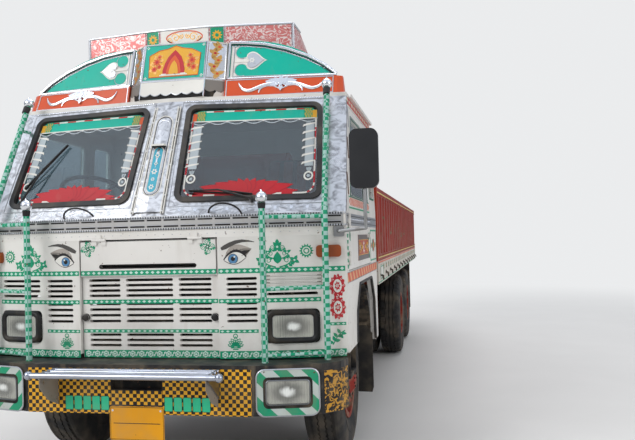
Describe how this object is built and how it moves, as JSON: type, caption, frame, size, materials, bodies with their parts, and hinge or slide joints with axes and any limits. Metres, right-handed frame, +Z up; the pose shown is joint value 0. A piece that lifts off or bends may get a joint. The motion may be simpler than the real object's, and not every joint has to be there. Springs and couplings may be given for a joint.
{
  "type": "decorated cargo truck",
  "caption": "Forward-control cargo truck with a decorated flat-nosed cab, crown visor, guard poles, tandem rear axles and an open ribbed load body.",
  "frame": {"origin": "centre of the truck's footprint on the road, halfway between the front of the rack and the back of the rear bumper", "axes": "+X to the truck's left, -Y the way it faces, +Z up"},
  "size_m": [2.864, 9, 3.085],
  "materials": {
    "frame_black": "satin",
    "engine_grey": "rough",
    "spring_steel": "satin",
    "axle_grey": "rough",
    "tank_grey": "satin",
    "exhaust_steel": "rough",
    "tyre_rubber": "rough",
    "rim_paint": "satin",
    "bumper_black": "gloss",
    "bright_bar": "polished",
    "cab_white": "gloss",
    "lamp_black": "gloss",
    "lamp_glass": "polished",
    "screen_glass": "polished",
    "seal_black": "satin",
    "trim_brown": "matte",
    "seat_cloth": "rough",
    "visor_orange": "gloss",
    "crown_green": "gloss",
    "crown_teal": "gloss",
    "box_pink": "gloss",
    "pole_green": "gloss",
    "mirror_black": "satin",
    "bed_brown": "satin",
    "side_red": "gloss",
    "board_red": "satin",
    "lamp_amber": "gloss"
  },
  "bodies": {
    "truck": {"chassis_frame": "frame_black", "subframe": "frame_black", "engine_block": "engine_grey", "leaf_springs": "spring_steel", "front_axle": "axle_grey", "rear_axles": "axle_grey", "fuel_tank": "tank_grey", "battery_box": "tank_grey", "silencer": "exhaust_steel", "front_bumper": "bumper_black", "bumper_rack": "bright_bar", "headlamp_bezels": "lamp_black", "lamp_lenses": "lamp_glass", "front_panels": "cab_white", "cab_front": "cab_white", "windscreen_rubbers": "seal_black", "cab_glass": "screen_glass", "cab_side_left": "cab_white", "cab_side_right": "cab_white", "cab_back": "cab_white", "cab_floor": "frame_black", "cab_roof": "cab_white", "dashboard": "trim_brown", "seats": "seat_cloth", "visor_panels": "visor_orange", "crown_panels": "crown_green", "crown_box": "crown_teal", "roof_box": "box_pink", "guard_poles": "pole_green", "mirrors": "mirror_black", "mudguards": "frame_black", "cab_steps": "frame_black", "cargo_floor": "bed_brown", "bed_bearers": "bed_brown", "cargo_side_left": "side_red", "cargo_side_right": "side_red", "headboard": "board_red", "signal_lamps": "lamp_amber", "rear_bumper": "frame_black"},
    "left_knuckle": {"knuckle_left": "axle_grey"},
    "right_knuckle": {"knuckle_right": "axle_grey"},
    "hatch": {"front_hatch": "cab_white"},
    "left_door": {"door_left": "cab_white", "door_glass_left": "screen_glass"},
    "right_door": {"door_right": "cab_white", "door_glass_right": "screen_glass"},
    "tailgate": {"tailgate": "side_red"},
    "steering_wheel": {"steering_wheel": "lamp_black"},
    "middle_wheels_left": {"middle_tyres_left": "tyre_rubber", "middle_rims_left": "rim_paint"},
    "rear_wheels_left": {"rear_tyres_left": "tyre_rubber", "rear_rims_left": "rim_paint"},
    "front_wheel_left": {"front_tyre_left": "tyre_rubber", "front_rim_left": "rim_paint"},
    "middle_wheels_right": {"middle_tyres_right": "tyre_rubber", "middle_rims_right": "rim_paint"},
    "rear_wheels_right": {"rear_tyres_right": "tyre_rubber", "rear_rims_right": "rim_paint"},
    "front_wheel_right": {"front_tyre_right": "tyre_rubber", "front_rim_right": "rim_paint"}
  },
  "joints": [
    {"name": "middle_wheels_left_spin", "type": "hinge", "parent": "truck", "child": "middle_wheels_left", "pos_m": [0.886, 1.28, 0.525], "axis": [1, 0, 0], "continuous": true},
    {"name": "rear_wheels_left_spin", "type": "hinge", "parent": "truck", "child": "rear_wheels_left", "pos_m": [0.886, 2.66, 0.525], "axis": [1, 0, 0], "continuous": true},
    {"name": "steer_left", "type": "hinge", "parent": "truck", "child": "left_knuckle", "pos_m": [0.79, -3.07, 0.525], "axis": [0, 0, 1], "range_deg": [-35, 35]},
    {"name": "front_wheel_left_spin", "type": "hinge", "parent": "left_knuckle", "child": "front_wheel_left", "pos_m": [0.962, -3.07, 0.525], "axis": [1, 0, 0], "continuous": true},
    {"name": "middle_wheels_right_spin", "type": "hinge", "parent": "truck", "child": "middle_wheels_right", "pos_m": [-0.886, 1.28, 0.525], "axis": [1, 0, 0], "continuous": true},
    {"name": "rear_wheels_right_spin", "type": "hinge", "parent": "truck", "child": "rear_wheels_right", "pos_m": [-0.886, 2.66, 0.525], "axis": [1, 0, 0], "continuous": true},
    {"name": "steer_right", "type": "hinge", "parent": "truck", "child": "right_knuckle", "pos_m": [-0.79, -3.07, 0.525], "axis": [0, 0, 1], "range_deg": [-35, 35]},
    {"name": "front_wheel_right_spin", "type": "hinge", "parent": "right_knuckle", "child": "front_wheel_right", "pos_m": [-0.962, -3.07, 0.525], "axis": [1, 0, 0], "continuous": true},
    {"name": "hatch_lift", "type": "hinge", "parent": "truck", "child": "hatch", "pos_m": [0, -4.109, 1.578], "axis": [-1, 0, 0], "range_deg": [0, 75]},
    {"name": "left_door_swing", "type": "hinge", "parent": "truck", "child": "left_door", "pos_m": [1.225, -3.854, 1.55], "axis": [0, 0, -1], "range_deg": [0, 70]},
    {"name": "right_door_swing", "type": "hinge", "parent": "truck", "child": "right_door", "pos_m": [-1.225, -3.854, 1.55], "axis": [0, 0, 1], "range_deg": [0, 70]},
    {"name": "tailgate_drop", "type": "hinge", "parent": "truck", "child": "tailgate", "pos_m": [0, 4.469, 1.248], "axis": [-1, 0, 0], "range_deg": [0, 90]},
    {"name": "steering_wheel_turn", "type": "hinge", "parent": "truck", "child": "steering_wheel", "pos_m": [-0.64, -3.51, 1.9], "axis": [0, 0.4819, 0.8762], "range_deg": [-350, 350]}
  ],
  "couplings": [
    {"joint": "steer_right", "follows": "steer_left", "ratio": 1},
    {"joint": "steering_wheel_turn", "follows": "steer_left", "ratio": 10}
  ]
}
